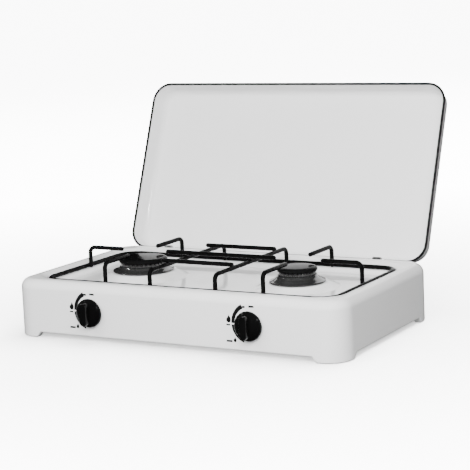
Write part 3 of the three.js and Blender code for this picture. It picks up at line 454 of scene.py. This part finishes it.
def body_rings():
    rings = []

    def outer(inset, height):
        corner = BODY_CORNER - inset
        rings.append(rect_ring(BODY_X - inset, BODY_Y - inset, corner, height, 0, ALONG_X, ALONG_Y))

    outer(SHEET + BASE_FLANGE, foot_height)
    outer(SKIRT_ROLL, foot_height)
    roll_steps, edge_steps = 5, 12
    for step in range(1, roll_steps + 1):
        angle = math.pi / 2 * step / roll_steps
        rise = SKIRT_ROLL - SKIRT_ROLL * math.cos(angle)
        outer(SKIRT_ROLL - SKIRT_ROLL * math.sin(angle), lambda x, y, rise=rise: foot_height(x, y) + rise)
    outer(0, lambda x, y: foot_height(x, y) * 0.6 + FOOT_DROP - 0.5)
    for height in (18, 42):
        outer(0, height)
    for step in range(edge_steps + 1):
        angle = math.pi / 2 * step / edge_steps
        outer(BODY_EDGE - BODY_EDGE * math.cos(angle), DECK - BODY_EDGE + BODY_EDGE * math.sin(angle))

    profile = rounded([
        (-RIM_SLOPE, DECK), (3 - RIM_SLOPE, DECK - 0.2), (0, LIP_Z), (0, LEDGE_Z), (LEDGE_WIDTH, LEDGE_Z),
        (FLOOR_INSET, FLOOR_Z), (FLOOR_INSET + FLOOR_BLEND, FLOOR_Z),
    ], {1: 3.0, 2: 1.6, 3: 1.4, 4: 2.5, 5: 5.0}, 5)
    for inset, height in profile:
        rings.append(rect_ring(RECESS_X - inset, RECESS_Y - inset, RECESS_CORNER - inset, height, GRATE_Y,
                               ALONG_X, ALONG_Y))
    return rings


def cone_profile(burner):
    ring, cone, top = burner["ring"], burner["cone"], burner["rim"] - CONE_DROP
    return rounded([
        (cone + CONE_BLEND, FLOOR_Z), (cone, FLOOR_Z), (ring + 2.6, top + 0.3), (ring - 1.6, top),
        (CONE_HOLE + 1.5, top), (CONE_HOLE, top - 0.8),
    ], {1: 6.0, 2: 3.5, 3: 1.5, 4: 0.8}, 6)


def fill_floor(points, ring, holes):
    """Flat triangles between the floor's edge and the round openings."""
    loops = [ring, *holes]
    indices = [i for loop in loops for i in loop]
    flat = [Vector(points[i][:2]) for i in indices]
    edges, start = [], 0
    for loop in loops:
        edges += [(start + i, start + (i + 1) % len(loop)) for i in range(len(loop))]
        start += len(loop)
    triangles = delaunay_2d_cdt(flat, edges, [], 0, 1e-6)[2]
    kept = []
    for triangle in triangles:
        middle = sum((flat[i] for i in triangle), Vector((0, 0))) / 3
        if on_floor(middle):
            kept.append(tuple(indices[i] for i in triangle))
    return kept


def on_floor(spot):
    """Whether a spot of the deck is on its flat floor, and not in a burner's opening."""
    for burner in BURNERS.values():
        if (spot - Vector((burner["x"], BURNER_Y))).length < burner["cone"] + CONE_BLEND - 0.5:
            return False
    half_x, half_y = RECESS_X - FLOOR_INSET - FLOOR_BLEND, RECESS_Y - FLOOR_INSET - FLOOR_BLEND
    return abs(spot.x) < half_x and abs(spot.y - GRATE_Y) < half_y


def make_body():
    rings = body_rings()
    columns = len(rings[0])
    points = [p for ring in rings for p in ring]
    faces = grid_faces(len(rings), columns)
    floor_ring = list(range(len(points) - columns, len(points)))
    holes = []
    for burner in BURNERS.values():
        ring_points, ring_faces = lathe(cone_profile(burner), TURNED_SIDES, (burner["x"], BURNER_Y, 0))
        start = len(points)
        points += ring_points
        faces += [tuple(i + start for i in face) for face in ring_faces]
        holes.append(list(range(start, start + TURNED_SIDES)))
    faces += fill_floor(points, floor_ring, holes)
    piece = new_piece("body_enamel", points, faces, WHITE_ENAMEL, "base", "white_enamel", ["body_shell"], 60)
    turn_outwards(piece)
    add_thickness(piece, SHEET)
    cutters = [slot_cutter(x) for x in (-HINGE_X, HINGE_X)]
    cutters += [round_cutter(burner["x"], -BODY_Y, TAP_Z, WALL_HOLE) for burner in BURNERS.values()]
    cutters.append(round_cutter(INLET_X, BODY_Y, INLET_Z, WALL_HOLE))
    cut_away(piece, cutters)
    weigh_normals(piece)
    apply_modifiers(piece)
    level_floor(piece.data)
    for cutter in cutters:
        bpy.data.objects.remove(cutter)


def level_floor(mesh):
    """Corner normals on the flat floor point straight up or down, whatever triangles fill it."""
    level = {}
    middle = (FLOOR_Z - SHEET / 2) * MM
    for face in mesh.polygons:
        if abs(face.normal.z) > 0.999 and abs(face.center.z - middle) < SHEET * MM:
            upright = Vector((0, 0, math.copysign(1, face.center.z - middle)))
            level.update({i: upright for i in face.vertices})
    normals = []
    for loop, corner in zip(mesh.loops, mesh.corner_normals):
        normals.append(level.get(loop.vertex_index, corner.vector.copy()))
    mesh.normals_split_custom_set(normals)


def turn_outwards(piece):
    """An open skin's faces must point out before it is given thickness: the deck's rim looks up."""
    mesh = piece.data
    highest = max(mesh.polygons, key=lambda face: (face.center.z, abs(face.normal.z)))
    if highest.normal.z < 0:
        mesh.flip_normals()


def slot_cutter(x):
    """The slot in the rounded rear edge that a hinge lug rises through."""
    y_ends, z_ends = (HINGE.y - SLOT_REACH, BODY_Y + 1), (DECK - SLOT_DROP, DECK + 1)
    return loose_mesh("slot", *block((x - SLOT_HALF, x + SLOT_HALF), y_ends, z_ends))


def round_cutter(x, y, z, radius):
    points, faces = lathe([(0, -3), (radius, -3), (radius, 3), (0, 3)], 32, (x, y, z), "y")
    return loose_mesh("hole", points, faces)


make_body()

# ---------------------------------------------------------------- pan support


def wire_piece(name, path):
    new_piece(name + "_wire", *tube(path, WIRE), BLACK_ENAMEL, "pan_support", "black_enamel", [name], 60)


def make_pan_support():
    left, right = -GRATE_X, GRATE_X
    front, back = GRATE_Y - GRATE_DEPTH, GRATE_Y + GRATE_DEPTH
    wire_piece("grate_frame", bent_line([
        (GAP / 2, back, FRAME_Z), (right, back, FRAME_Z), (right, front, FRAME_Z),
        (left, front, FRAME_Z), (left, back, FRAME_Z), (-GAP / 2, back, FRAME_Z),
    ], GRATE_CORNER, 16))
    inset, foot = 2 * WIRE + GAP, FRAME_Z - WIRE + 0.5
    leg_front, leg_back, leg_side = front + inset, back - inset, GRATE_X - inset
    for side, x in (("left", -ROD_X), ("right", ROD_X)):
        wire_piece(f"grate_rod_{side}", bent_line([
            (x, leg_front, foot), (x, leg_front, ROD_Z), (x, leg_back, ROD_Z), (x, leg_back, foot),
        ], WIRE_BEND))
    bar_half = ROD_X + 2 * WIRE
    middle_start = BURNERS["left"]["x"] + BURNERS["left"]["tips"]["inner"]
    middle_end = BURNERS["right"]["x"] - BURNERS["right"]["tips"]["inner"]
    bars = (
        ("back", GRATE_Y + BAR_SPREAD, -bar_half, bar_half),
        ("middle", GRATE_Y, middle_start, middle_end),
        ("front", GRATE_Y - BAR_SPREAD, -bar_half, bar_half),
    )
    for name, y, start, end in bars:
        path = [Vector((start + (end - start) * t / 4, y, FINGER_Z)) for t in range(5)]
        wire_piece(f"grate_bar_{name}", path)
    for side, burner in BURNERS.items():
        x, out, tips = burner["x"], math.copysign(1, burner["x"]), burner["tips"]
        ends = {
            "front": ((x, leg_front), (x, BURNER_Y - tips["front"])),
            "back": ((x, leg_back), (x, BURNER_Y + tips["back"])),
            "outer": ((out * leg_side, GRATE_Y), (x + out * tips["outer"], GRATE_Y)),
        }
        for end, (base, tip) in ends.items():
            wire_piece(f"grate_finger_{side}_{end}", bent_line([
                (*base, foot), (*base, FINGER_Z), (*tip, FINGER_Z),
            ], WIRE_BEND))


make_pan_support()

# ---------------------------------------------------------------- burners

CAST_SHARP = 35


def make_ring(side, burner):
    """The bright ring: a rolled rim on the cone, then a flare up to the burner head."""
    ring, rim = burner["ring"], burner["rim"]
    inner, foot = burner["cap"] - HEAD_INSET + 2 * GAP, rim - CONE_DROP + GAP
    profile = rounded([
        (inner, RING_TOP - 0.9), (inner + 1.6, RING_TOP - 3.7), (ring - 4.3, rim + 0.4), (ring - 4.3, foot),
        (ring - 0.5, foot), (ring, rim - 1.0), (ring - 0.7, rim + 0.3), (ring - 3.6, rim + 1.3),
        (inner + 2.5, RING_TOP - 3.0), (inner + 0.5, RING_TOP),
    ], {1: 1.0, 2: 0.6, 3: 0.4, 4: 0.5, 5: 0.7, 6: 1.2, 7: 1.6, 8: 2.0}, 6)
    points, faces = lathe(profile + [profile[0]], FINE_SIDES, (burner["x"], BURNER_Y, 0))
    new_piece(f"burner_ring_{side}_chrome", points, faces, CHROME, "base", "chrome",
              [f"burner_ring_{side}"], 50)


def make_crown(side, burner):
    """The cast head: spigot, flared bowl and a crown of flame ports."""
    top, radius = CAP_UNDER - GAP, burner["cap"] - HEAD_INSET
    spigot, seat = CUP_RADIUS - 1.5, CUP_TOP + GAP
    profile = rounded([
        (11.5, CUP_TOP - 7), (spigot, CUP_TOP - 7), (spigot, seat), (CUP_RADIUS + 1, seat),
        (radius - 1.5, top - 5.5), (radius, top - 4), (radius, top), (radius - 4.5, top),
        (radius - 5.5, top - 5), (12, CUP_TOP + 4),
    ], {1: 0.5, 3: 1.0, 4: 1.2, 5: 0.6, 6: 0.5, 7: 0.5, 8: 2}, 3)
    points, faces = lathe(profile + [profile[0]], TURNED_SIDES, (burner["x"], BURNER_Y, 0))
    piece = new_piece(f"burner_crown_{side}_cast", points, faces, ALUMINIUM, f"crown_{side}",
                      "burner_aluminium", [f"burner_crown_{side}"], CAST_SHARP)
    slots = []
    for i in range(burner["ports"]):
        turn = Matrix.Rotation(TAU * (i + 0.5) / burner["ports"], 3, "Z")
        corners, slot_faces = block((radius - 8, radius + 2), (-1.0, 1.0), (top - 2.4, top + 1))
        base = Vector((burner["x"], BURNER_Y, 0))
        slots.append(([tuple(turn @ Vector(c) + base) for c in corners], slot_faces))
    cutter = loose_mesh("ports", *merge(*slots))
    cut_away(piece, [cutter])
    apply_modifiers(piece)
    bpy.data.objects.remove(cutter)
    piece.data.set_sharp_from_angle(angle=math.radians(CAST_SHARP))


def make_cap(side, burner):
    cap = burner["cap"]
    profile = rounded([
        (0, CAP_UNDER), (cap - 10, CAP_UNDER), (cap - 10, CAP_UNDER - 2), (cap - 8.2, CAP_UNDER - 2),
        (cap - 8.2, CAP_UNDER), (cap - 0.4, CAP_UNDER), (cap, CAP_UNDER + 1.2), (cap - 0.1, CAP_UNDER + 3.4),
        (cap - 1.6, CAP_TOP - 1.6), (cap - 5, CAP_TOP - 0.6), (0, CAP_TOP),
    ], {1: 0.4, 2: 0.4, 3: 0.4, 4: 0.4, 5: 0.5, 6: 0.8, 7: 1.2, 8: 1.6, 9: 4}, 5)
    points, faces = lathe(profile, TURNED_SIDES, (burner["x"], BURNER_Y, 0))
    new_piece(f"burner_cap_{side}_enamel", points, faces, CAP_ENAMEL, f"cap_{side}", "black_enamel",
              [f"burner_cap_{side}"], 60)


for side_name, burner_data in BURNERS.items():
    make_ring(side_name, burner_data)
    make_crown(side_name, burner_data)
    make_cap(side_name, burner_data)

# ---------------------------------------------------------------- knobs and printed marks


def make_knob(side, x):
    """A round skirt with an upright grip bar that blends into it."""
    skirt = rounded([
        (STEM_HOLE, 0), (KNOB_RADIUS, 0), (KNOB_RADIUS, -2.4), (KNOB_RADIUS - 1.2, -4.6), (12.0, -8.4),
        (6.0, -9.4), (0, -9.5),
    ], {1: 0.5, 2: 1.0, 3: 2.4, 4: 5.0, 5: 3.0}, 6)
    disc = lathe(skirt, TURNED_SIDES, (x, KNOB_BACK, TAP_Z), "y")
    levels = ((-3.0, 0.6), (-8.0, 0.3), (-15.8, 0.0), (-16.5, -0.2), (-16.9, -0.5), (-17.0, -1.0))
    half_length, half_width, sides = 15.0, 5.0, 48
    points = []
    for depth, grow in levels:
        reach = half_width + grow
        for i in range(sides):
            angle = TAU * (i + 0.5) / sides
            end_z = (half_length - half_width) * math.copysign(1, math.sin(angle))
            spot_x, spot_z = x + reach * math.cos(angle), TAP_Z + end_z + reach * math.sin(angle)
            points.append((spot_x, KNOB_BACK + depth, spot_z))
    grip = points, grid_faces(len(levels), sides) + end_caps(len(points), sides)
    new_piece(f"knob_{side}_moulded", *merge(disc, grip), PLASTIC, f"tap_{side}", "black_plastic",
              [f"knob_{side}"], 50)


def arc_mark(x, radii, widths, start, end, steps=28):
    """A printed arc that tapers and closes in; clock angles in degrees, clockwise from the top."""
    points = []
    for i in range(steps + 1):
        t = i / steps
        angle = math.radians(start + (end - start) * t)
        radius = radii[0] + (radii[1] - radii[0]) * t
        half = (widths[0] + (widths[1] - widths[0]) * t) / 2
        for reach in (radius - half, radius + half):
            points.append((x + reach * math.sin(angle), INK_Y, TAP_Z + reach * math.cos(angle)))
    return points, [(2 * i, 2 * i + 1, 2 * i + 3, 2 * i + 2) for i in range(steps)]


def flame_mark(x, z, size):
    """A plain flame sign: a drop with a pointed top."""
    outline = [(0.05, 1.0), (0.42, 0.45), (0.62, -0.1), (0.54, -0.6), (0.2, -0.92), (-0.2, -0.92),
               (-0.56, -0.6), (-0.62, -0.1), (-0.36, 0.25), (-0.14, 0.55)]
    points = [(x + a * size, INK_Y, z + b * size) for a, b in outline]
    return points, [tuple(range(len(points)))]


def dash_mark(x, z, length, height):
    outline = ((-1, -1), (1, -1), (1, 1), (-1, 1))
    points = [(x + a * length / 2, INK_Y, z + b * height / 2) for a, b in outline]
    return points, [(0, 1, 2, 3)]


def make_marks(side, x):
    """Strong to weak flame around the knob, with plain dashes where a stove has its words."""
    parts = [
        arc_mark(x, (26.3, 24.4), (6.0, 4.6), -24, -86),
        arc_mark(x, (24.4, 23.6), (4.0, 2.4), -90.5, -158),
        flame_mark(x - 30.6, TAP_Z + 6.8, 5.4),
        flame_mark(x - 22.2, TAP_Z - 20.0, 3.5),
        dash_mark(x - 31.3, TAP_Z - 0.9, 5.6, 2.0),
        dash_mark(x - 30.4, TAP_Z - 22.2, 8.6, 2.5),
        dash_mark(x + 2.8, TAP_Z + 24.6, 7.6, 2.5),
        dash_mark(x - 8.4, TAP_Z + 23.6, 4.4, 2.4),
    ]
    piece = new_piece(f"tap_marks_{side}", *merge(*parts), INK, "base", "black_print", sharp=60)
    ink = piece.modifiers.new("ink", "SOLIDIFY")
    ink.thickness, ink.offset = INK_THICKNESS * MM, 0
    apply_modifiers(piece)


for side_name, burner_data in BURNERS.items():
    make_knob(side_name, burner_data["x"])
    make_marks(side_name, burner_data["x"])

# ---------------------------------------------------------------- lid


def lid_open(point):
    """Turns a point of the closed lid to its open place."""
    return tuple(HINGE + Matrix.Rotation(-LID_SWING, 3, "X") @ (Vector(point) - HINGE))


def make_lid():
    outer = -LID_SHEET / 2
    levels = [(outer, -0.6), (outer, LID_UPRIGHT)]
    radius, fillet_z = LID_FILLET, LID_DEPTH - LID_FILLET
    slope_top = fillet_z + radius * math.sin(LID_DRAFT)
    slope_inset = outer + math.tan(LID_DRAFT) * (slope_top - LID_UPRIGHT)
    fillet_inset = slope_inset + radius * math.cos(LID_DRAFT)
    fillet_steps = 12
    for step in range(fillet_steps + 1):
        angle = LID_DRAFT + step / fillet_steps * (math.pi / 2 - LID_DRAFT)
        levels.append((fillet_inset - radius * math.cos(angle), fillet_z + radius * math.sin(angle)))
    levels.append((fillet_inset + 5, LID_DEPTH))
    along_x, along_y = edge_stations([], 30), edge_stations([], 16)
    centre_y = LID_REAR_Y - LID_LENGTH / 2
    rings = []
    for inset, height in levels:
        rings.append(rect_ring(LID_X - inset, LID_LENGTH / 2 - inset, LID_CORNER - inset, LID_RIM_Z + height,
                               centre_y, along_x, along_y))
    points = [lid_open(p) for ring in rings for p in ring]
    columns = len(rings[0])
    faces = grid_faces(len(rings), columns) + [tuple(range(len(points) - columns, len(points)))]
    piece = new_piece("lid_enamel", points, faces, WHITE_ENAMEL, "lid", "white_enamel", ["lid_shell"], 60)
    face_back(piece)
    add_thickness(piece, LID_SHEET)
    weigh_normals(piece)
    apply_modifiers(piece)


def face_back(piece):
    """The skin made above is the lid's outside: when open, its big panel looks to the back."""
    largest = max(piece.data.polygons, key=lambda face: face.area)
    if largest.normal.y < 0:
        piece.data.flip_normals()


def make_edging():
    half, front = LID_X, LID_REAR_Y - LID_LENGTH
    end = HINGE_X + HINGE_NOTCH + 1
    corners = [(end, LID_REAR_Y), (half, LID_REAR_Y), (half, front), (-half, front), (-half, LID_REAR_Y),
               (-end, LID_REAR_Y)]
    edge = bent_line([(x, y, LID_RIM_Z) for x, y in corners], LID_CORNER, 18)
    path = [Vector(lid_open(p)) for p in edge]
    look = EDGING, "lid", "black_edging"
    new_piece("lid_edging", *tube(path, EDGING_RADIUS, 16), *look, ["lid_edge_bead"], 60)
    end -= 2 * HINGE_NOTCH + 2
    rear = [Vector(lid_open((x, LID_REAR_Y, LID_RIM_Z))) for x in (-end, -end / 2, 0, end / 2, end)]
    new_piece("lid_edging_rear", *tube(rear, EDGING_RADIUS, 16), *look, ["lid_rear_bead"], 60)


make_lid()
make_edging()

# ---------------------------------------------------------------- carried-over pieces


def dress_nodes():
    """Gives every CAD piece that stays its own material."""
    looks = {"zinc_steel": STEEL, "brass": BRASS, "chrome": CHROME, "burner_aluminium": ALUMINIUM,
             "white_enamel": WHITE_ENAMEL, "black_enamel": BLACK_ENAMEL, "black_plastic": PLASTIC,
             "black_edging": EDGING}
    for part in frame["record"]["subparts"]:
        node = NODES[part["node"]]
        node.data.materials.clear()
        node.data.materials.append(looks[part["material_slot"]])


dress_nodes()

# ---------------------------------------------------------------- stage and light

FLOOR_FLAT, FLOOR_CURVE, FLOOR_REACH = 2500.0, 2500.0, 7000.0
FLOOR_GLOW, GLOW_START, GLOW_END = (0.9, 9.0), 0.30, 1.3
AMBIENT, AMBIENT_BELOW = 0.36, 0.2
STOVE_MIDDLE = (0.0, 0.0, 0.08)


def make_stage():
    """A round pale floor that curves up into a wall all round, outside the lights."""
    profile = rounded([
        (0.0, 0.0), (FLOOR_FLAT, 0.0), (FLOOR_REACH, 0.0), (FLOOR_REACH, FLOOR_REACH),
    ], {2: FLOOR_CURVE}, 12)
    points, faces = lathe(profile, TURNED_SIDES, (0, 0, 0))
    mesh = bpy.data.meshes.new("floor")
    mesh.from_pydata([Vector(p) * MM for p in points], [], faces)
    floor = bpy.data.objects.new("floor", mesh)
    bpy.context.scene.collection.objects.link(floor)
    tidy_normals(mesh)
    mesh.shade_smooth()
    nodes = Nodes("floor_paper")
    nodes.mix_colours(nodes.noise(3, 3), (0.88, 0.88, 0.88), (0.92, 0.92, 0.92))
    nodes.rough(nodes.noise(40, 3), 0.8, 0.95)
    nodes.shader.inputs["Specular IOR Level"].default_value = 0.1
    nodes.shader.inputs["Emission Color"].default_value = (1, 1, 1, 1)
    nodes.fade_in(nodes.shader.inputs["Emission Strength"], GLOW_START, GLOW_END, *FLOOR_GLOW)
    mesh.materials.append(nodes.material)
    floor.visible_diffuse = floor.visible_glossy = floor.visible_shadow = False
    return floor


def make_light(name, azimuth, elevation, distance, size, power, aim=STOVE_MIDDLE):
    """A lamp that the stove sees at that elevation and azimuth: 0 is in front, positive to the right."""
    light = bpy.data.lights.new(name, "AREA")
    light.shape, light.size, light.size_y, light.energy = "RECTANGLE", size[0], size[1], power
    lamp = bpy.data.objects.new(name, light)
    across, up = math.radians(azimuth), math.radians(elevation)
    away = Vector((math.sin(across) * math.cos(up), -math.cos(across) * math.cos(up), math.sin(up)))
    lamp.location = Vector(aim) + away * distance
    lamp.rotation_euler = (-away).to_track_quat("-Z", "Y").to_euler()
    bpy.context.scene.collection.objects.link(lamp)
    return lamp


def only_on(lamp, target):
    """A lamp that washes the floor alone."""
    receivers = bpy.data.collections.new(lamp.name + "_receivers")
    receivers.objects.link(target)
    lamp.light_linking.receiver_collection = receivers


def make_world():
    """Even light from above and all round, weaker from below; it isn't mirrored in the enamel."""
    world = bpy.data.worlds.new("studio")
    bpy.context.scene.world = world
    world.use_nodes = True
    tree = world.node_tree
    split = tree.nodes.new("ShaderNodeSeparateXYZ")
    level = tree.nodes.new("ShaderNodeMapRange")
    tree.links.new(tree.nodes.new("ShaderNodeTexCoord").outputs["Generated"], split.inputs["Vector"])
    tree.links.new(split.outputs["Z"], level.inputs["Value"])
    steps = (("From Min", -0.15), ("From Max", 0.1), ("To Min", AMBIENT_BELOW), ("To Max", AMBIENT))
    for key, number in steps:
        level.inputs[key].default_value = number
    background = tree.nodes["Background"]
    background.inputs["Color"].default_value = (1, 1, 1, 1)
    tree.links.new(level.outputs["Result"], background.inputs["Strength"])
    world.cycles_visibility.glossy = False


floor_sheet = make_stage()
make_world()
for softbox in (make_light("softbox_right", 20, 25, 1.6, (1.0, 0.8), 58, (0.15, 0.0, 0.08)),
                make_light("softbox_left", -28, 36, 2.1, (1.0, 0.8), 26)):
    softbox.visible_glossy = False
make_light("spark_right", 50, 30, 1.8, (0.09, 0.09), 6.0)
make_light("spark_left", -60, 34, 1.8, (0.09, 0.09), 3.0)
make_light("overhead_card", 0, 86, 2.4, (3.0, 3.0), 4.0)
only_on(make_light("floor_wash", 160, 62, 3.4, (4.0, 4.0), 900), floor_sheet)
